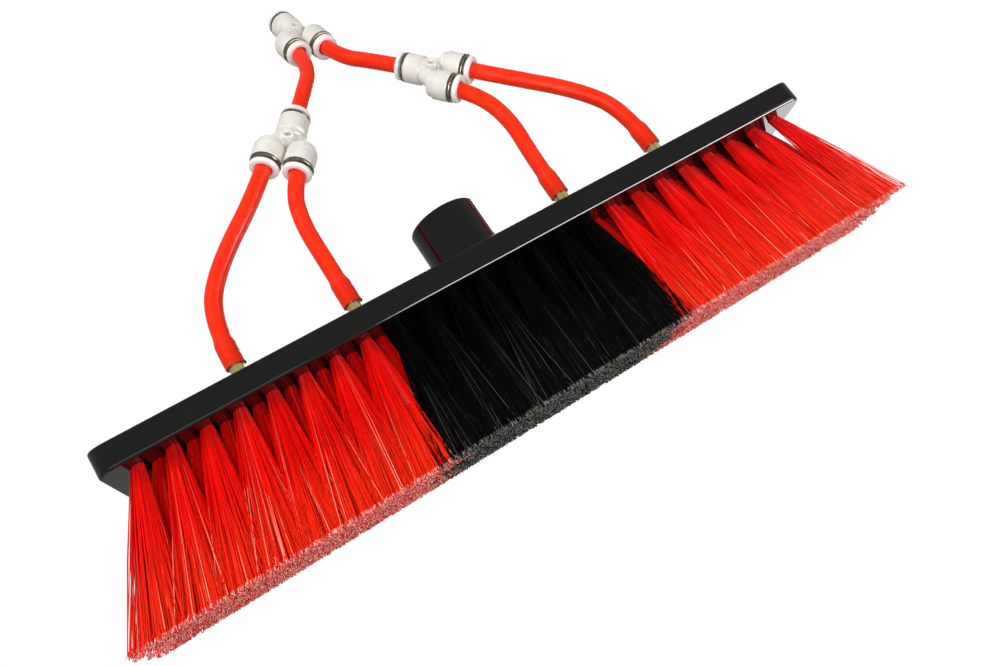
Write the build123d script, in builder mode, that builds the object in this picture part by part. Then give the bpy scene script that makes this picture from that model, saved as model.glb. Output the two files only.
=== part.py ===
"""Water-fed brush head: a moulded block with a pole socket, bristle tufts, four water jets and a hose harness.

Millimetres, +Z up. The origin is the centre of the plane of the bristle tips, below the middle of the block.
X runs along the block, the bristles point down and the hoses rise from the jets to the inlet.
"""
from build123d import *
import os
from math import radians, tan

os.makedirs("parts", exist_ok=True)

# ---- block, with its pole socket
BLOCK_LENGTH = 355
BLOCK_WIDTH = 64
BLOCK_EDGE_HEIGHT = 11
BLOCK_CROWN = 3
BLOCK_CORNER_RADIUS = 8
BLOCK_EDGE_ROUND = 1.2
SOCKET_BORE = 28
SOCKET_WALL = 3
SOCKET_RISE = 30
SOCKET_RIM_ROUND = 0.8
SOCKET_SEAT_FIT = 0.05
SOCKET_FLOOR = 3

# ---- bristle tufts
BRISTLE_LENGTH = 62
TUFT_COLUMNS = 24
END_MARGIN = 6.5
ROWS = 7
SIDE_MARGIN = 11.6
COLOUR_CHANGE = 3.75
TUFT_HOLE = 5.4
TUFT_HOLE_DEPTH = 8
TUFT_FIT = 0.05
TUFT_GAP = 0.3
TUFT_CORNER = 1.8
ROOT_ROUNDNESS = 0.49
FAN = 1.105
ANCHOR_THICKNESS = 0.5
ANCHOR_HEIGHT = 2.2
ANCHOR_BITE = 0.3

# ---- water jets
JET_PITCHES = (-8, -4, 4, 8)
JET_SHANK = 6
JET_SHANK_FIT = 0.05
JET_HEX = 8
JET_HEX_HEIGHT = 4
JET_COLLAR = 7
JET_COLLAR_HEIGHT = 6.7
JET_BORE = 2.6
JET_ORIFICE = 1.2
JET_ORIFICE_LENGTH = 2.5
BARB_STEM_STRETCH = 0.6
BARB_RIDGE_STRETCH = 1.4
BARB_RIDGE_PITCH = 3.6
BARB_RIDGE_SLOPE = 2.9
BARB_RIDGES = 3
BARB_TIP = 0.8

# ---- hose
HOSE_OD = 8
HOSE_BORE = 5
HOSE_STRETCH_WALL = 1.55
HOSE_TAPER = 2.4
HOSE_TAPER_SINK = 0.2
BARB_FIT = 0.05

# ---- push-fit Y fittings
FITTING_LENGTH = 30
PORT_SPACING = 0.5
PORT_LEDGE = 0.2
PORT_SHOULDER = 13
BODY_THICKNESS = 11
BODY_FOOT = 7.8
BODY_SHOULDER_INSET = 1.5
NECK_RISE = 2
CHANNEL = 3.4
CHANNEL_OVERLAP = 1
EYE_HEIGHT = 15
EYE_OD = 7
EYE_HOLE = 3.5
EYE_BOSS_THICKNESS = 13
CARTRIDGE_GAP = 0.9
MOUTH_WALL = 0.7
SEAT_FIT = 0.1
SEAT_DEPTH = 1.3
RING_THICKNESS = 0.5
RING_WIDTH = 1.6
RING_LIP = 0.4
RING_FIT = 0.05
COLLET_WALL = 1.15
COLLET_SLEEVE = 6
COLLET_FLANGE = 2.4
COLLET_FLANGE_RIM = 1.9
COLLET_FIT = 0.05
COLLET_TRAVEL = 1.0
GRIP_THICKNESS = 0.5
SEAL_HEIGHT = 1.8
SLIDE_CLEARANCE = 0.2

# ---- harness, with every height above the plane of the block's top edges
# A fitting: the middle of its two branch ends, the way to its inlet, and the way along its branches.
FITTINGS = {
    "left": ((-51.0, 0.0, 91.4), (0.63, 0.17, 0.76), (0.77, -0.02, -0.64)),
    "right": ((50.1, 0.7, 94.5), (-0.57, 0.26, 0.78), (0.82, 0.17, 0.54)),
    "top": ((0.4, 25.0, 163.1), (-0.08, 0.34, 0.94), (0.975, 0.22, 0.0)),
}
# A jet's hose: its fitting and branch, the straight lead out of it, its free corner, and where it turns down.
JET_HOSES = {
    "jet_hose_outer_left": ("left", "branch_a", 12, (-100.3, -1.0, 58.5), 37.7),
    "jet_hose_inner_left": ("left", "branch_b", 8, (-57.3, -1.2, 59.5), 36.2),
    "jet_hose_inner_right": ("right", "branch_a", 8, (58.3, -2.0, 60.5), 36.4),
    "jet_hose_outer_right": ("right", "branch_b", 12, (99.6, -1.0, 58.8), 37.7),
}
# A link between two fittings: the fitting whose inlet it fills, and the top fitting's branch that feeds it.
LINK_HOSES = {
    "link_hose_left": ("left", "branch_a"),
    "link_hose_right": ("right", "branch_b"),
}
LINK_LOWER_LEAD = 0.26
LINK_UPPER_LEAD = 0.22
CORNER_SHARE = 0.45

# ---- worked out
underside_z = BRISTLE_LENGTH
tuft_pitch = (BLOCK_LENGTH - 2 * END_MARGIN) / TUFT_COLUMNS
row_pitch = (BLOCK_WIDTH - 2 * SIDE_MARGIN) / (ROWS - 1)
socket_od = SOCKET_BORE + 2 * SOCKET_WALL
edge_top_z = underside_z + BLOCK_EDGE_HEIGHT
crown_top_z = edge_top_z + BLOCK_CROWN
socket_top_z = edge_top_z + SOCKET_RISE
socket_floor_z = underside_z + TUFT_HOLE_DEPTH + SOCKET_FLOOR
tuft_top_z = underside_z + TUFT_HOLE_DEPTH
jet_seat_z = crown_top_z + JET_HEX_HEIGHT
hose_end_z = jet_seat_z + JET_COLLAR_HEIGHT
barb_length = BARB_TIP + BARB_RIDGES * BARB_RIDGE_PITCH
barb_stem = HOSE_BORE + BARB_STEM_STRETCH
barb_ridge = HOSE_BORE + BARB_RIDGE_STRETCH
sleeve_bore = barb_ridge + 2 * BARB_FIT
sleeve_od = sleeve_bore + 2 * HOSE_STRETCH_WALL
jet_x = [n * tuft_pitch for n in JET_PITCHES]

collet_bore = HOSE_OD + 2 * COLLET_FIT
collet_od = collet_bore + 2 * COLLET_WALL
cartridge_bore = collet_od + 2 * CARTRIDGE_GAP
ring_step_od = cartridge_bore + 2 * MOUTH_WALL
ring_od = ring_step_od + 2 * RING_THICKNESS
port_od = ring_od + 2 * PORT_LEDGE
port_pitch = port_od + PORT_SPACING
collet_rest_z = RING_LIP + COLLET_TRAVEL + SLIDE_CLEARANCE
collet_face_z = collet_rest_z + COLLET_FLANGE
collet_inner_z = collet_rest_z - COLLET_SLEEVE
grip_z = collet_inner_z - COLLET_TRAVEL - SLIDE_CLEARANCE
seal_z = grip_z - GRIP_THICKNESS
cartridge_end_z = seal_z - SEAL_HEIGHT
port_depth = SEAT_DEPTH - cartridge_end_z
port_names = ("inlet", "branch_a", "branch_b")


def tuft_places(row):
    """Root centres of one row: every second row is staggered, and the middle row leaves room for the jets."""
    columns = TUFT_COLUMNS - row % 2
    y = (row - (ROWS - 1) / 2) * row_pitch
    places = []
    for column in range(columns):
        x = (column - (columns - 1) / 2) * tuft_pitch
        at_jet = abs(y) < row_pitch / 2 and any(abs(x - jet) < tuft_pitch / 2 for jet in jet_x)
        if not at_jet:
            places.append((x, y))
    return places


def section_of(x):
    """The colour section that a column belongs to."""
    if x < -COLOUR_CHANGE * tuft_pitch:
        return "left"
    if x > COLOUR_CHANGE * tuft_pitch:
        return "right"
    return "centre"


def above_edge(point):
    """A harness point's place in the part's frame."""
    return Vector(*point) + Vector(0, 0, edge_top_z)


def fitting_frame(key):
    """A fitting's own frame: origin between the branch ends, X along the branches, Z towards the inlet."""
    centre, axis, across = FITTINGS[key]
    z_dir = Vector(*axis).normalized()
    x_dir = Vector(*across)
    x_dir = (x_dir - z_dir * x_dir.dot(z_dir)).normalized()
    return Plane(origin=above_edge(centre), x_dir=x_dir, z_dir=z_dir)


def port_frame(key, port):
    """The plane of a port's mouth: its Z points out of the port."""
    frame = fitting_frame(key)
    if port == "inlet":
        mouth = frame.from_local_coords((0, 0, FITTING_LENGTH))
        return Plane(origin=mouth, x_dir=frame.x_dir, z_dir=frame.z_dir)
    side = -0.5 if port == "branch_a" else 0.5
    mouth = frame.from_local_coords((side * port_pitch, 0, 0))
    return Plane(origin=mouth, x_dir=frame.x_dir, z_dir=-frame.z_dir)


def write(builder, name, color):
    """Label one sub-part and write its STEP file."""
    builder.part.label = name
    builder.part.color = Color(*color)
    export_step(builder.part, f"parts/{name}.step")


BLACK = (0.02, 0.02, 0.02)
RED = (0.85, 0.05, 0.03)
WHITE = (0.88, 0.87, 0.84)
BRASS = (0.75, 0.58, 0.25)
NICKEL = (0.55, 0.53, 0.50)
STEEL = (0.60, 0.60, 0.62)

# ---- block: crowned slab with rounded corners, the socket's seat on top, tuft holes below, jet holes through
with BuildPart() as brush_block:
    with BuildSketch(Plane.XY.offset(underside_z)):
        RectangleRounded(BLOCK_LENGTH, BLOCK_WIDTH, BLOCK_CORNER_RADIUS)
    extrude(amount=BLOCK_EDGE_HEIGHT + BLOCK_CROWN)
    with BuildSketch(Plane.YZ):
        with BuildLine():
            ThreePointArc((-BLOCK_WIDTH / 2, edge_top_z), (0, crown_top_z), (BLOCK_WIDTH / 2, edge_top_z))
            Polyline(
                (BLOCK_WIDTH / 2, edge_top_z),
                (BLOCK_WIDTH / 2, underside_z),
                (-BLOCK_WIDTH / 2, underside_z),
                (-BLOCK_WIDTH / 2, edge_top_z),
            )
        make_face()
    extrude(amount=BLOCK_LENGTH / 2, both=True, mode=Mode.INTERSECT)
    fillet(brush_block.faces().sort_by(Axis.Z)[0].edges(), radius=BLOCK_EDGE_ROUND)
    fillet(brush_block.faces().sort_by(Axis.Z)[-1].edges(), radius=BLOCK_EDGE_ROUND)
    with BuildSketch(Plane.XY.offset(socket_floor_z)):
        Circle(socket_od / 2 + SOCKET_SEAT_FIT)
    extrude(amount=crown_top_z - socket_floor_z, mode=Mode.SUBTRACT)
    with BuildSketch(Plane.XY.offset(underside_z)):
        for row in range(ROWS):
            with Locations(*tuft_places(row)):
                Circle(TUFT_HOLE / 2)
    extrude(amount=TUFT_HOLE_DEPTH, mode=Mode.SUBTRACT)
    with BuildSketch(Plane.XY.offset(underside_z)):
        with Locations(*[(x, 0) for x in jet_x]):
            Circle(JET_SHANK / 2 + JET_SHANK_FIT)
    extrude(amount=crown_top_z - underside_z, mode=Mode.SUBTRACT)
write(brush_block, "brush_block", BLACK)

# ---- pole socket: a tube welded into its seat, with a rounded rim
with BuildPart() as pole_socket:
    with BuildSketch(Plane.XY.offset(socket_floor_z)):
        Circle(socket_od / 2)
    extrude(amount=socket_top_z - socket_floor_z)
    fillet(pole_socket.faces().sort_by(Axis.Z)[-1].edges(), radius=SOCKET_RIM_ROUND)
    with BuildSketch(Plane.XY.offset(socket_floor_z)):
        Circle(SOCKET_BORE / 2)
    extrude(amount=socket_top_z - socket_floor_z, mode=Mode.SUBTRACT)
write(pole_socket, "pole_socket", BLACK)

# ---- tufts: a round root in its hole, then a bundle that fans out to its own cell of the trimmed face
# The root is a square rounded until it is all but a circle, so that it has the tip's edges to loft to.
root_od = TUFT_HOLE - 2 * TUFT_FIT
root_round = root_od * ROOT_ROUNDNESS
tip_x = tuft_pitch * FAN - TUFT_GAP
tip_y = row_pitch - TUFT_GAP
anchor_length = TUFT_HOLE + 2 * ANCHOR_BITE
anchors = {"left": [], "centre": [], "right": []}
for row in range(ROWS):
    for section, color in (("left", RED), ("centre", BLACK), ("right", RED)):
        places = [place for place in tuft_places(row) if section_of(place[0]) == section]
        anchors[section] += places
        with BuildPart() as tufts:
            for x, y in places:
                with BuildSketch(Plane.XY):
                    with Locations((x * FAN, y)):
                        RectangleRounded(tip_x, tip_y, TUFT_CORNER)
                with BuildSketch(Plane.XY.offset(underside_z)):
                    with Locations((x, y)):
                        RectangleRounded(root_od, root_od, root_round)
                loft()
            with BuildSketch(Plane.XY.offset(underside_z)):
                with Locations(*places):
                    RectangleRounded(root_od, root_od, root_round)
            extrude(amount=TUFT_HOLE_DEPTH)
            with BuildSketch(Plane.XY.offset(tuft_top_z)):
                with Locations(*places):
                    Rectangle(root_od, ANCHOR_THICKNESS)
            extrude(amount=-ANCHOR_HEIGHT, mode=Mode.SUBTRACT)
        write(tufts, f"tufts_row_{row + 1}_{section}", color)

for section, places in anchors.items():
    with BuildPart() as anchor_wires:
        with BuildSketch(Plane.XY.offset(tuft_top_z)):
            with Locations(*places):
                Rectangle(anchor_length, ANCHOR_THICKNESS)
        extrude(amount=-ANCHOR_HEIGHT)
    write(anchor_wires, f"tuft_anchors_{section}", STEEL)

# ---- jets: shank through the block, hexagon and collar on its crown, then the barb that holds the hose
jet_names = ("jet_outer_left", "jet_inner_left", "jet_inner_right", "jet_outer_right")
for name, x in zip(jet_names, jet_x):
    with BuildPart() as jet:
        with BuildSketch(Plane.XY.offset(underside_z)):
            with Locations((x, 0)):
                Circle(JET_SHANK / 2)
        extrude(amount=crown_top_z - underside_z)
        with BuildSketch(Plane.XY.offset(crown_top_z)):
            with Locations((x, 0)):
                RegularPolygon(JET_HEX / 2, 6, major_radius=False)
        extrude(amount=JET_HEX_HEIGHT)
        with BuildSketch(Plane.XY.offset(jet_seat_z)):
            with Locations((x, 0)):
                Circle(JET_COLLAR / 2)
        extrude(amount=JET_COLLAR_HEIGHT)
        with BuildSketch(Plane.XY.offset(hose_end_z)):
            with Locations((x, 0)):
                Circle(barb_stem / 2)
        extrude(amount=barb_length)
        for ridge in range(BARB_RIDGES):
            foot_z = hose_end_z + BARB_TIP + ridge * BARB_RIDGE_PITCH
            with BuildSketch(Plane.XY.offset(foot_z)):
                with Locations((x, 0)):
                    Circle(barb_ridge / 2)
            with BuildSketch(Plane.XY.offset(foot_z + BARB_RIDGE_SLOPE)):
                with Locations((x, 0)):
                    Circle(barb_stem / 2)
            loft()
        with BuildSketch(Plane.XY.offset(underside_z + JET_ORIFICE_LENGTH)):
            with Locations((x, 0)):
                Circle(JET_BORE / 2)
        extrude(amount=hose_end_z + barb_length - underside_z, mode=Mode.SUBTRACT)
        with BuildSketch(Plane.XY.offset(underside_z)):
            with Locations((x, 0)):
                Circle(JET_ORIFICE / 2)
        extrude(amount=JET_ORIFICE_LENGTH, mode=Mode.SUBTRACT)
    write(jet, name, BRASS)

# ---- push-fit Y fittings: body, cap rings, release collets, and the grip ring and seal in each port
half = port_pitch / 2
shoulder_x = half + port_od / 2 - BODY_SHOULDER_INSET
neck_x = port_od / 2 - BODY_SHOULDER_INSET / 2
neck_z = FITTING_LENGTH - PORT_SHOULDER + NECK_RISE
for key in FITTINGS:
    frame = fitting_frame(key)
    middle = Plane(origin=frame.origin, x_dir=frame.x_dir, z_dir=-frame.y_dir)
    ports = [port_frame(key, port) for port in port_names]
    with BuildPart() as fitting_body:
        for port in ports:
            with BuildSketch(port.offset(-RING_WIDTH)):
                Circle(port_od / 2)
            extrude(amount=RING_WIDTH - PORT_SHOULDER)
            with BuildSketch(port):
                Circle(ring_step_od / 2)
            extrude(amount=-RING_WIDTH)
        with BuildSketch(middle):
            Polygon(
                (shoulder_x, BODY_FOOT),
                (shoulder_x, PORT_SHOULDER),
                (neck_x, neck_z),
                (-neck_x, neck_z),
                (-shoulder_x, PORT_SHOULDER),
                (-shoulder_x, BODY_FOOT),
                align=None,
            )
        extrude(amount=BODY_THICKNESS / 2, both=True)
        with BuildSketch(middle):
            with Locations((0, EYE_HEIGHT)):
                Circle(EYE_OD / 2)
        extrude(amount=EYE_BOSS_THICKNESS / 2, both=True)
        with BuildSketch(middle):
            with Locations((0, EYE_HEIGHT)):
                Circle(EYE_HOLE / 2)
        extrude(amount=port_od, both=True, mode=Mode.SUBTRACT)
        for port in ports:
            with BuildSketch(port):
                Circle(HOSE_OD / 2 + SEAT_FIT)
            extrude(amount=-port_depth, mode=Mode.SUBTRACT)
            with BuildSketch(port):
                Circle(cartridge_bore / 2)
            extrude(amount=cartridge_end_z, mode=Mode.SUBTRACT)
        for side in (-1, 1):
            low = frame.from_local_coords((side * half, 0, port_depth - CHANNEL_OVERLAP))
            high_z = FITTING_LENGTH - port_depth + CHANNEL_OVERLAP
            high = frame.from_local_coords((side * (EYE_HOLE + CHANNEL) / 2, 0, high_z))
            with BuildSketch(Plane(origin=low, z_dir=high - low)):
                Circle(CHANNEL / 2)
            extrude(amount=(high - low).length, mode=Mode.SUBTRACT)
    write(fitting_body, f"fitting_{key}_body", WHITE)

    with BuildPart() as cap_rings:
        for port in ports:
            with BuildSketch(port.offset(-RING_WIDTH)):
                Circle(ring_od / 2)
                Circle(ring_step_od / 2 + RING_FIT, mode=Mode.SUBTRACT)
            extrude(amount=RING_WIDTH)
            with BuildSketch(port):
                Circle(ring_od / 2)
                Circle(collet_od / 2 + SLIDE_CLEARANCE, mode=Mode.SUBTRACT)
            extrude(amount=RING_LIP)
    write(cap_rings, f"fitting_{key}_cap_rings", NICKEL)

    for port, name in zip(ports, port_names):
        with BuildPart() as collet:
            with BuildSketch(port.offset(collet_rest_z)):
                Circle(collet_od / 2 + COLLET_FLANGE_RIM)
            extrude(amount=COLLET_FLANGE)
            with BuildSketch(port.offset(collet_inner_z)):
                Circle(collet_od / 2)
            extrude(amount=COLLET_SLEEVE)
            with BuildSketch(port.offset(collet_inner_z)):
                Circle(collet_bore / 2)
            extrude(amount=COLLET_SLEEVE + COLLET_FLANGE, mode=Mode.SUBTRACT)
        write(collet, f"fitting_{key}_collet_{name}", WHITE)

    with BuildPart() as grip_rings:
        for port in ports:
            with BuildSketch(port.offset(grip_z)):
                Circle(cartridge_bore / 2 - RING_FIT)
                Circle(collet_bore / 2, mode=Mode.SUBTRACT)
            extrude(amount=-GRIP_THICKNESS)
    write(grip_rings, f"fitting_{key}_grip_rings", STEEL)

    with BuildPart() as seals:
        for port in ports:
            with BuildSketch(port.offset(seal_z)):
                Circle(cartridge_bore / 2 - RING_FIT)
                Circle(collet_bore / 2, mode=Mode.SUBTRACT)
            extrude(amount=-SEAL_HEIGHT)
    write(seals, f"fitting_{key}_seals", BLACK)


def corner_radii(points):
    """As large an arc at each corner as its two runs leave room for."""
    radii = []
    for before, corner, after in zip(points, points[1:], points[2:]):
        run = min((corner - before).length, (after - corner).length)
        turn = (corner - before).get_angle(after - corner)
        radii.append(CORNER_SHARE * run / tan(radians(turn / 2)))
    return radii


def write_hose(name, points, jet=None):
    """A tube along its route. At a jet its end is stretched into a sleeve over the barb."""
    radii = corner_radii(points)
    with BuildPart() as hose:
        with BuildLine() as route:
            FilletPolyline(*points, radius=radii)
        path = route.wires()[0]
        with BuildSketch(Plane(origin=path @ 0, z_dir=path % 0)):
            Circle(HOSE_OD / 2)
        sweep(path=path)
        if jet is not None:
            sleeve_end = Plane(origin=(jet, 0, hose_end_z))
            with BuildSketch(sleeve_end):
                Circle(sleeve_od / 2)
            extrude(amount=barb_length)
            with BuildSketch(sleeve_end.offset(barb_length)):
                Circle(sleeve_od / 2)
            with BuildSketch(sleeve_end.offset(barb_length + HOSE_TAPER)):
                Circle(HOSE_OD / 2 - HOSE_TAPER_SINK)
            loft()
        with BuildSketch(Plane(origin=path @ 0, z_dir=path % 0)):
            Circle(HOSE_BORE / 2)
        sweep(path=path, mode=Mode.SUBTRACT)
        if jet is not None:
            with BuildSketch(sleeve_end):
                Circle(sleeve_bore / 2)
            extrude(amount=barb_length + BARB_TIP, mode=Mode.SUBTRACT)
    print(name, "length", round(path.length, 1), "corner radii", [round(radius, 1) for radius in radii])
    write(hose, name, RED)


# ---- hoses: from the foot of a port, straight out of it, and down to a jet or into the top fitting
for (name, (key, branch, lead, corner, turn_height)), x in zip(JET_HOSES.items(), jet_x):
    port = port_frame(key, branch)
    foot = port.origin - port.z_dir * port_depth
    led_out = port.origin + port.z_dir * (collet_face_z + lead)
    turn = above_edge((x, 0, turn_height))
    write_hose(name, [foot, led_out, above_edge(corner), turn, Vector(x, 0, hose_end_z)], x)

for name, (key, branch) in LINK_HOSES.items():
    lower = port_frame(key, "inlet")
    upper = port_frame("top", branch)
    lower_face = lower.origin + lower.z_dir * collet_face_z
    upper_face = upper.origin + upper.z_dir * collet_face_z
    gap = (upper_face - lower_face).length
    points = [
        lower.origin - lower.z_dir * port_depth,
        lower_face + lower.z_dir * LINK_LOWER_LEAD * gap,
        upper_face + upper.z_dir * LINK_UPPER_LEAD * gap,
        upper.origin - upper.z_dir * port_depth,
    ]
    write_hose(name, points)
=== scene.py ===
"""Water-fed brush head: bristles, hoses, push-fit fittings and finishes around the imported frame."""
from math import cos, pi, radians, sin

import bmesh
import bpy
import numpy as np
from bpy.props import FloatProperty, FloatVectorProperty, IntProperty, PointerProperty
from mathutils import Matrix, Vector


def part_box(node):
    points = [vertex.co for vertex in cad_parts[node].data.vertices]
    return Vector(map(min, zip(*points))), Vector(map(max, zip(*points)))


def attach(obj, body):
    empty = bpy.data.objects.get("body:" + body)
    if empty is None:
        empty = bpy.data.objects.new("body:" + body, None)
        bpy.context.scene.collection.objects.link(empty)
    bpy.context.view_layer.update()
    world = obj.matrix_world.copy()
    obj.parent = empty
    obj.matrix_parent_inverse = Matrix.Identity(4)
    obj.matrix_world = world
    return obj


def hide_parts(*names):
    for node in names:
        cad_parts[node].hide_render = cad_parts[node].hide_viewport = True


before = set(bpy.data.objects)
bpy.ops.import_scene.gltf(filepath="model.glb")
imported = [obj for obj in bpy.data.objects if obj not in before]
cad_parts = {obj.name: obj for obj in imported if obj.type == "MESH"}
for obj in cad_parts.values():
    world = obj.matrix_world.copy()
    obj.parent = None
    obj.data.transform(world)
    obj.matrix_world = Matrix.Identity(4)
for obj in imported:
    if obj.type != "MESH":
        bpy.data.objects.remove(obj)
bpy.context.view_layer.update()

bl_info = {
    "name": "Water-fed brush head",
    "version": (1, 0, 0),
    "blender": (4, 5, 0),
    "location": "View3D > Sidebar > Brush Head",
    "description": "Adds the bristles, hoses, fittings, finishes and stage of a water-fed brush head",
    "category": "Add Mesh",
}

MM = 0.001
HEAD = "brush_head"
BLOCK_LOW, BLOCK_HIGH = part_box("brush_block")
TUFT_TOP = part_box("tufts_row_1_left")[1]
JET_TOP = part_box("jet_outer_left")[1]

# ---- the frame's own layout, in metres
BLOCK_EDGE_HEIGHT = 11 * MM
TUFT_HOLE_DEPTH = 8 * MM
TUFT_COLUMNS = 24
TUFT_ROWS = 7
END_MARGIN = 6.5 * MM
SIDE_MARGIN = 11.6 * MM
COLOUR_CHANGE = 3.75
TUFT_FAN = 1.105
TUFT_HOLE_RADIUS = 2.7 * MM
JET_PITCHES = (-8, -4, 4, 8)
BARB_LENGTH = 11.6 * MM

underside_z = TUFT_TOP.z - TUFT_HOLE_DEPTH
edge_top_z = underside_z + BLOCK_EDGE_HEIGHT
tuft_pitch = (BLOCK_HIGH.x - BLOCK_LOW.x - 2 * END_MARGIN) / TUFT_COLUMNS
row_pitch = (BLOCK_HIGH.y - BLOCK_LOW.y - 2 * SIDE_MARGIN) / (TUFT_ROWS - 1)
jet_x = [n * tuft_pitch for n in JET_PITCHES]
hose_end_z = JET_TOP.z - BARB_LENGTH

# ---- push-fit fittings: their length, the ports' spacing and depth behind the mouth, the collet face and the eye
FITTING_LENGTH = 30 * MM
PORT_PITCH = 15.5 * MM
PORT_DEPTH = 9.2 * MM
COLLET_FACE = 4.0 * MM
EYE_HEIGHT = 15 * MM
EYE_HOLE_RADIUS = 1.75 * MM

# ---- harness, with every height above the plane of the block's top edges
# A fitting: the middle of its two branch ends, the way to its inlet, and the way along its branches.
FITTINGS = {
    "left": ((-51.0, 0.0, 91.4), (0.63, 0.17, 0.76), (0.77, -0.02, -0.64)),
    "right": ((50.1, 0.7, 94.5), (-0.57, 0.26, 0.78), (0.82, 0.17, 0.54)),
    "top": ((0.4, 25.0, 163.1), (-0.08, 0.34, 0.94), (0.975, 0.22, 0.0)),
}
# A jet's hose: its fitting and branch, the straight lead out of it, its free corner, where it turns down,
# and its length.
JET_HOSES = {
    "jet_hose_outer_left": ("left", "branch_a", 12, (-100.3, -1.0, 58.5), 37.7, 115.2),
    "jet_hose_inner_left": ("left", "branch_b", 8, (-57.3, -1.2, 59.5), 36.2, 85.1),
    "jet_hose_inner_right": ("right", "branch_a", 8, (58.3, -2.0, 60.5), 36.4, 89.4),
    "jet_hose_outer_right": ("right", "branch_b", 12, (99.6, -1.0, 58.8), 37.7, 117.4),
}
# A link between two fittings: the fitting whose inlet it fills, the top fitting's branch, and its length.
LINK_HOSES = {
    "link_hose_left": ("left", "branch_a", 78.3),
    "link_hose_right": ("right", "branch_b", 74.2),
}
LINK_LOWER_LEAD = 0.26
LINK_UPPER_LEAD = 0.22
PORT_NAMES = ("inlet", "branch_a", "branch_b")


def linear(hex_colour):
    """An sRGB hex colour as the linear colour that shaders take."""
    parts = [int(hex_colour[i:i + 2], 16) / 255 for i in (1, 3, 5)]
    return tuple(p / 12.92 if p <= 0.04045 else ((p + 0.055) / 1.055) ** 2.4 for p in parts)


# ---------------------------------------------------------------- settings
class BristleSettings(bpy.types.PropertyGroup):
    outer_strands: IntProperty(
        name="Strands in an outer tuft", description="Filaments in each tuft of the two outer rows of a side",
        default=270, min=20)
    inner_strands: IntProperty(
        name="Strands in an inner tuft", description="Filaments in each tuft of the middle rows",
        default=180, min=20)
    root_radius: FloatProperty(
        name="Strand radius at the root", description="Half a filament's thickness at the block",
        default=0.19 * MM, unit="LENGTH")
    tip_radius: FloatProperty(
        name="Strand radius at the tip", description="Half a filament's thickness at its cut end",
        default=0.15 * MM, unit="LENGTH")
    splay: FloatProperty(
        name="Splay", description="How far a tuft's outermost strands lean along the block",
        default=13.5 * MM, unit="LENGTH")
    red: FloatVectorProperty(
        name="Red", description="Colour of the red filament", subtype="COLOR", default=linear("#f60600"))
    black: FloatVectorProperty(
        name="Black", description="Colour of the black filament", subtype="COLOR", default=linear("#030303"))


class HoseSettings(bpy.types.PropertyGroup):
    diameter: FloatProperty(
        name="Tube diameter", description="Outside of the tube", default=8 * MM, unit="LENGTH")
    sleeve: FloatProperty(
        name="Stretched diameter", description="Outside of the tube where a barb stretches it",
        default=9.5 * MM, unit="LENGTH")
    colour: FloatVectorProperty(
        name="Tube colour", description="Colour of the polyurethane", subtype="COLOR",
        default=linear("#fc2e04"))


class FittingSettings(bpy.types.PropertyGroup):
    voxel: FloatProperty(
        name="Surface detail", description="Size of the voxels that melt the barrels into one moulding",
        default=0.32 * MM, unit="LENGTH")
    colour: FloatVectorProperty(
        name="Moulding colour", description="Colour of the fitting's body", subtype="COLOR",
        default=linear("#ebe8e2"))
    collet_colour: FloatVectorProperty(
        name="Collet colour", description="Colour of the release collets", subtype="COLOR",
        default=linear("#fbf9f6"))


class StageSettings(bpy.types.PropertyGroup):
    camera_place: FloatVectorProperty(
        name="Camera place", description="Where the camera stands", subtype="TRANSLATION", unit="LENGTH",
        default=(-0.11557, -0.35519, -0.04581))
    camera_turn: FloatProperty(
        name="Camera turn", description="Heading of the camera from +Y towards +X", subtype="ANGLE",
        default=radians(16.52))
    camera_rise: FloatProperty(
        name="Camera rise", description="How far the camera looks up", subtype="ANGLE",
        default=radians(13.30))
    camera_roll: FloatProperty(
        name="Camera roll", description="How far the camera leans over to its right", subtype="ANGLE",
        default=radians(33.65))
    focal_length: FloatProperty(
        name="Focal length", description="Lens, in millimetres on a 36 mm sensor", default=30.36)
    floor_drop: FloatProperty(
        name="Floor drop", description="How far the floor lies below the bristle tips",
        default=0.16, unit="LENGTH")


# ---------------------------------------------------------------- finishes
def add_node(tree, kind, inputs=None, stops=None, **settings):
    """Add one shader node. An input is a value, or a pair of a node and the name of its output.

    Stops are a colour ramp's own: each a position and a linear colour.
    """
    node = tree.nodes.new(kind)
    for name, value in settings.items():
        setattr(node, name, value)
    for name, value in (inputs or {}).items():
        if isinstance(value, tuple) and isinstance(value[0], bpy.types.Node):
            tree.links.new(value[0].outputs[value[1]], node.inputs[name])
        else:
            node.inputs[name].default_value = value
    if stops:
        elements = node.color_ramp.elements
        while len(elements) < len(stops):
            elements.new(0.5)
        for element, (position, colour) in zip(elements, stops):
            element.position = position
            element.color = rgba(colour)
    return node


def rgba(colour):
    """A linear colour with full opacity."""
    return (*colour, 1.0)


def pattern_scale(size):
    """The scale of a pattern whose features are this many millimetres apart."""
    return 1 / (size * MM)


def start_material(name):
    """An empty material, its node tree and its object coordinates."""
    material = bpy.data.materials.new(name)
    material.use_nodes = True
    tree = material.node_tree
    tree.nodes.clear()
    return material, tree, add_node(tree, "ShaderNodeTexCoord")


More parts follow.
